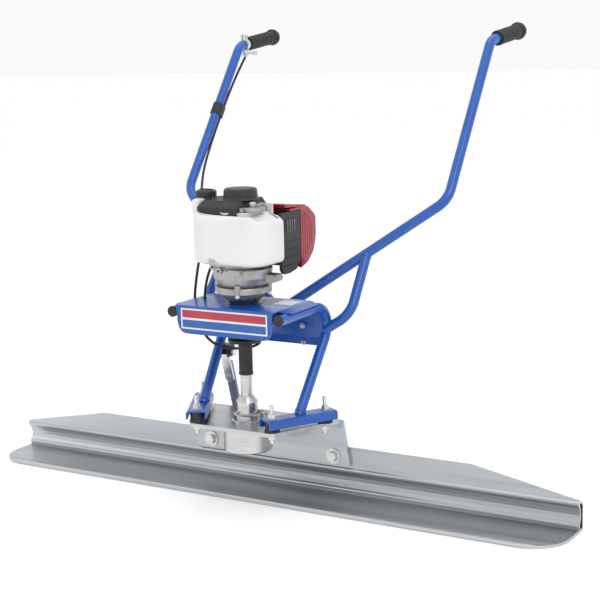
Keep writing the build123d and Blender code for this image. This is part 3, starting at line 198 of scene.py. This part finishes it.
def lathe(name, profile, centre, slot, steps=64, wave=0.0, waves=0, **more):
    """A turned piece about a vertical axis; profile is (radius, z) pairs from bottom to top."""
    verts, faces = [], []
    for r, z in profile:
        for i in range(steps):
            a = 2 * math.pi * i / steps
            ripple = r * (1 + wave * math.cos(waves * a))
            verts.append((centre[0] + ripple * math.cos(a), centre[1] + ripple * math.sin(a), z))
    for k in range(len(profile) - 1):
        for i in range(steps):
            j = (i + 1) % steps
            faces.append((k * steps + i, k * steps + j, (k + 1) * steps + j, (k + 1) * steps + i))
    faces.append(tuple(range(steps)))
    faces.append(tuple(range((len(profile) - 1) * steps, len(profile) * steps)))
    return shape(name, verts, faces, slot, smooth=True, **more)


def arc(cx, cy, r, start, end, steps):
    return [(cx + r * math.cos(math.radians(start + (end - start) * i / steps)),
             cy + r * math.sin(math.radians(start + (end - start) * i / steps)))
            for i in range(steps + 1)]


def smoothstep(x, low, high):
    u = min(max((x - low) / (high - low), 0), 1)
    return u * u * (3 - 2 * u)


# fuel tank: saddle round the crankcase, soft edges, notch under the front, bevel at upper right
TANK_LEFT, TANK_RIGHT, TANK_FRONT, TANK_REAR = -78, 88, -79, 8
TANK_LOW, TANK_TOP = 449, 541
TANK_TALL = TANK_TOP - TANK_LOW
BORE_R = 51.3
REAR_R, RIGHT_R, LEFT_R = 8, 34, 56
outline = [(-72, 0)] + arc(TANK_LEFT + REAR_R, TANK_REAR - REAR_R, REAR_R, 180, 90, 6)
outline += [(-54, TANK_REAR)] + arc(0, 0, BORE_R, 171, 369, 44) + [(54, TANK_REAR)]
outline += arc(TANK_RIGHT - REAR_R, TANK_REAR - REAR_R, REAR_R, 90, 0, 6)
outline += [(TANK_RIGHT, -12)]
outline += arc(TANK_RIGHT - RIGHT_R, TANK_FRONT + RIGHT_R, RIGHT_R, 0, -90, 14)
outline += [(x, TANK_FRONT) for x in (36, 20, 8, -2, -12, -22)]
outline += arc(TANK_LEFT + LEFT_R, TANK_FRONT + LEFT_R, LEFT_R, -90, -180, 18)
outline += [(TANK_LEFT, -12)]
clean = []
for p in outline:
    if not clean or math.dist(p, clean[-1]) > 0.5:
        clean.append(p)
outline = clean
count = len(outline)
inward = []
for i in range(count):
    ax, ay = outline[i - 1]
    bx, by = outline[(i + 1) % count]
    length = math.hypot(bx - ax, by - ay)
    inward.append(((by - ay) / length, -(bx - ax) / length))
area_sign = sum(outline[i - 1][0] * outline[i][1] - outline[i][0] * outline[i - 1][1]
                for i in range(count))
turn = -1 if area_sign > 0 else 1
verts, faces = [], []
LEVELS = [0, 0.02, 0.05, 0.09, 0.14, 0.3, 0.5, 0.7, 0.84, 0.89, 0.93, 0.965, 0.99, 1.0]
for t in LEVELS:
    height = t * TANK_TALL
    edge = min(height / 11, (TANK_TALL - height) / 9, 1)
    inset = 10 * (1 - math.sqrt(max(0, 1 - (1 - edge) ** 2)))
    for (x, y), (nx, ny) in zip(outline, inward):
        concave = math.hypot(x, y) < 53
        step = min(inset, 3) if concave else inset
        top = TANK_TOP - 13 * smoothstep(x, 62, 90) - 4 * smoothstep(-y, 50, 79)
        notch = 9 * (smoothstep(x, -29, -22) - smoothstep(x, -12, -5)) * smoothstep(-y, 40, 60)
        ridge = 0.5 * math.exp(-((x - 22) / 3.5) ** 2) if y < -60 else 0
        step += 0.5 - ridge
        bottom = TANK_LOW + notch
        verts.append((x + turn * nx * step, y + turn * ny * step, bottom + (top - bottom) * t))
for k in range(len(LEVELS) - 1):
    for i in range(count):
        j = (i + 1) % count
        faces.append((k * count + i, k * count + j, (k + 1) * count + j, (k + 1) * count + i))
faces.append(tuple(range(count)))
faces.append(tuple(range((len(LEVELS) - 1) * count, len(LEVELS) * count)))
tank = shape("tank_shell", verts, faces, "white_plastic", smooth=True)
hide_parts("fuel_tank")
slab("tank_neck", (-77, -61.2), (-46, 7), (533, 562), "white_plastic", 5)

# engine dress
lathe("starter_dome_top", [(26.5, 579.2), (26.5, 579.8), (25.5, 579.95), (0.5, 579.95)], (0, 0),
      "grey_paint", mat=surface("dome_grey", ((0.035, 0.036, 0.045), (0.05, 0.05, 0.06)),
                                (0.4, 0.6), 0.0, 80.0))
slab("starter_lip", (-58, 24), (-53.6, -50), (541.5, 545), "black_plastic", 1.0)
slab("tank_strap", (25, 60), (-40, -12), (541.5, 549), "cast_aluminium", 2.0)
slab("intake_boss", (27, 44), (-12, 20), (541.5, 553), "cast_aluminium", 3.0)
lathe("intake_stub", [(7, 545), (7, 556), (5, 558), (0.5, 558)], (36, -18), "machined_steel")
label = surface("blank_label", ((0.62, 0.62, 0.60), (0.72, 0.72, 0.70)), (0.3, 0.5), 0.0, 30.0)
prism("engine_plate", [(46, 535), (61, 535), (61, 553), (46, 553)], 10, 12, "Y",
      "white_plastic", 0.3, mat=label)
prism("head_top_strip", [(44, 548), (118, 540), (118, 536), (44, 541)], -30, 66, "X",
      "red_plastic", 1.5)
for i, (y, foot, top) in enumerate(((98, 438, 528), (106, 441, 527), (114, 446, 524),
                                    (122, 454, 518), (130, 464, 508))):
    prism("head_rib_%d" % i, [(y, foot), (y + 3, foot + 2), (y + 3, top - 2), (y, top)],
          69.4, 70.7, "X", "red_plastic", 0.7)

# side guard with a rounded lower corner, ribs, and a cooling window drawn as a thin dark sheet of
# painted shade under grey fins
guard = [(24, 533.5), (91.5, 533.5)] + arc(58.5, 454, 33, 0, -60, 10) + [(52, 421)]
guard += arc(38, 435, 14, -90, -180, 6)
plate = prism("side_guard", guard, 62.5, 69.6, "X", "black_plastic", 1.5)
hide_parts("side_cover")
fins = surface("fin_grey", ((0.16, 0.16, 0.17), (0.24, 0.24, 0.25)), (0.35, 0.5), 0.6, 60.0)
# painted shade: a near-black sheet on the guard face stands for the dim inside of the cooling
# window, and no opening is cut
prism("guard_window_shade_sheet", [(40, 496), (72, 496), (76, 521), (36, 521)], 69.3, 69.9, "X",
      "dark_steel", 0.2)
for i in range(4):
    y = 43 + i * 8
    prism("guard_fin_%d" % i, [(y, 497), (y + 2.6, 497), (y + 3.4, 520), (y + 0.4, 520)],
          69.8, 70.9, "X", "cast_aluminium", 0.4, mat=fins)
for i, z in enumerate((434, 448, 462, 476)):
    prism("guard_rib_%d" % i, [(30, z), (86 - 2 * (z < 440), z + 2), (86, z + 4.5),
                               (30, z + 2.5)], 69.5, 71.1, "X", "black_plastic", 0.6)

# ribbed cone of the clutch case down to the deck
lathe("clutch_cone", [(26.5, 371.3), (27, 373), (29, 376), (37.4, 383), (37.4, 391.4)], (0, 0),
      "cast_aluminium", 96, 0.012, 16,
      mat=surface("cone_grey", ((0.11, 0.12, 0.16), (0.19, 0.20, 0.25)), (0.35, 0.5), 0.7, 60.0))


# blank label on the skirt and stickers on the deck: generic panels with no lettering
def card(name, outline_3d, mat):
    obj = shape(name, outline_3d, [tuple(range(len(outline_3d)))], "white_plastic", mat=mat)
    mod = obj.modifiers.new("thick", "SOLIDIFY")
    mod.thickness = 0.0003
    mod.offset = 0


deck_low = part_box("deck_cover")[0]
FRONT = deck_low.y * 1000 - 0.25
pale = surface("label_pale", ((0.62, 0.63, 0.68), (0.74, 0.74, 0.78)), (0.3, 0.45), 0.0, 30.0)
red = surface("label_red", ((0.38, 0.03, 0.05), (0.46, 0.05, 0.07)), (0.3, 0.45), 0.0, 30.0)
navy = surface("label_blue", ((0.02, 0.09, 0.33), (0.03, 0.12, 0.40)), (0.3, 0.45), 0.0, 30.0)


def front_card(name, x, z, lift, mat):
    card(name, [(x[0], FRONT - lift, z[0]), (x[1], FRONT - lift, z[0]),
                (x[1], FRONT - lift, z[1]), (x[0], FRONT - lift, z[1])], mat)


front_card("skirt_label", (-92, 92), (328, 366), -0.1, pale)
front_card("skirt_label_band_top", (-89, 89), (349, 363), 0.0, red)
front_card("skirt_label_band_low", (-89, 89), (331, 345), 0.0, navy)
card("deck_sticker", [(58, 6, 371.2), (96, 6, 371.2), (96, 46, 371.2), (58, 46, 371.2)], pale)
card("deck_sticker_side", [(20, -2, 371.2), (54, -2, 371.2), (54, 40, 371.2), (20, 40, 371.2)],
     surface("label_grey", ((0.20, 0.21, 0.20), (0.32, 0.33, 0.33)), (0.3, 0.5), 0.0, 60.0))


def tube_ring(name, centre, axis, radius, thick, slot):
    """A rounded ring about a slanting tube, such as a weld bead."""
    way = Vector(axis).normalized()
    side = way.cross(Vector((0, 0, 1))).normalized()
    rise = side.cross(way)
    verts, faces = [], []
    turns, around = 36, 8
    for i in range(turns):
        a = 2 * math.pi * i / turns
        out = side * math.cos(a) + rise * math.sin(a)
        for j in range(around):
            b = 2 * math.pi * j / around
            spot = Vector(centre) + out * (radius + thick * math.cos(b)) + way * thick * math.sin(b)
            verts.append(tuple(spot))
            k, m = (i + 1) % turns, (j + 1) % around
            faces.append((i * around + j, k * around + j, k * around + m, i * around + m))
    return shape(name, verts, faces, slot, smooth=True)


for side_name, side in (("left", -1), ("right", 1)):
    tube_ring("brace_weld_" + side_name, (side * 154.9, 185.0, 437.0),
              (side * -0.042, 0.6102, 0.7911), 9.0, 1.4, "blue_paint")
    tube_ring("frame_weld_" + side_name, (side * 105.3, 14.2, 174.2),
              (side * 0.0434, 0.5691, 0.8211), 9.2, 1.4, "blue_paint")

# throttle cable
ROUTE = [
    (-0.28406, 0.47083, 0.80484), (-0.28498, 0.41834, 0.75236), (-0.286, 0.31317, 0.60536),
    (-0.244, 0.228, 0.55), (-0.16, 0.11, 0.47), (-0.129, 0.034, 0.4), (-0.132, 0.028, 0.33),
    (-0.096, 0.033, 0.273), (-0.02, 0.032, 0.275), (0.014, 0.046, 0.29), (-0.03, 0.06, 0.324),
    (-0.092, 0.01, 0.334), (-0.091, 0.006, 0.386), (-0.092, 0.032, 0.43), (-0.07, 0.042, 0.466),
    (-0.062, 0.048, 0.495),
]
line = bpy.data.curves.new("control_cable", "CURVE")
line.dimensions = "3D"
line.bevel_depth = 0.0026
line.bevel_resolution = 4
line.use_fill_caps = True
spline = line.splines.new("NURBS")
spline.points.add(len(ROUTE) - 1)
for point, place in zip(spline.points, ROUTE):
    point.co = (*place, 1)
spline.order_u = 3
spline.use_endpoint_u = True
spline.resolution_u = 12
cable = bpy.data.objects.new("control_cable", line)
bpy.context.scene.collection.objects.link(cable)
line.materials.append(MAT["black_rubber"])
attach(cable, "screed_frame")
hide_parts("throttle_cable")


# ---------------------------------------------------------------- stage, light, camera
floor_mat = surface("floor", ((0.93, 0.93, 0.93), (0.95, 0.95, 0.95)), (0.55, 0.7), 0.0, 3.0,
                    80.0, 0.02)
bpy.ops.mesh.primitive_plane_add(size=60, location=(0, 0, -0.0006))
floor = bpy.context.object
floor.name = "floor"
floor.data.materials.append(floor_mat)
shader = floor_mat.node_tree.nodes["Principled BSDF"]
shader.inputs["Emission Color"].default_value = (1, 1, 1, 1)
shader.inputs["Emission Strength"].default_value = 0.10

world = bpy.data.worlds.new("studio")
bpy.context.scene.world = world
world.use_nodes = True
world.node_tree.nodes["Background"].inputs["Color"].default_value = (1, 1, 1, 1)
world.node_tree.nodes["Background"].inputs["Strength"].default_value = 0.95
bpy.context.scene.view_settings.view_transform = "Standard"


def area(name, place, target, size, power):
    light = bpy.data.lights.new(name, "AREA")
    light.shape = "RECTANGLE"
    light.size, light.size_y = size
    light.energy = power
    obj = bpy.data.objects.new(name, light)
    bpy.context.scene.collection.objects.link(obj)
    obj.location = place
    obj.rotation_euler = (Vector(target) - Vector(place)).to_track_quat("-Z", "Y").to_euler()


area("key", (2.2, -1.6, 3.2), (0, 0.1, 0.3), (1.6, 1.6), 34)
area("fill", (-2.6, -2.0, 1.6), (0, 0.1, 0.3), (2.0, 2.0), 6)
area("top", (0.0, 0.6, 3.4), (0, 0.1, 0.0), (2.6, 2.6), 18)

AZIMUTH = math.radians(30.79)
PITCH = math.radians(10.33)
ROLL = math.radians(-1.39)
ahead = Vector((-math.sin(AZIMUTH) * math.cos(PITCH), math.cos(AZIMUTH) * math.cos(PITCH),
                -math.sin(PITCH)))
level = Vector((math.cos(AZIMUTH), math.sin(AZIMUTH), 0))
upright = level.cross(ahead)
right = level * math.cos(ROLL) + upright * math.sin(ROLL)
up = upright * math.cos(ROLL) - level * math.sin(ROLL)
camera = bpy.data.objects.new("camera", bpy.data.cameras.new("camera"))
bpy.context.scene.collection.objects.link(camera)
camera.matrix_world = Matrix.Translation((1.3957, -2.1424, 0.8383)) @ Matrix(
    (right, up, -ahead)).transposed().to_4x4()
camera.data.angle = math.radians(23.78)
bpy.context.scene.camera = camera
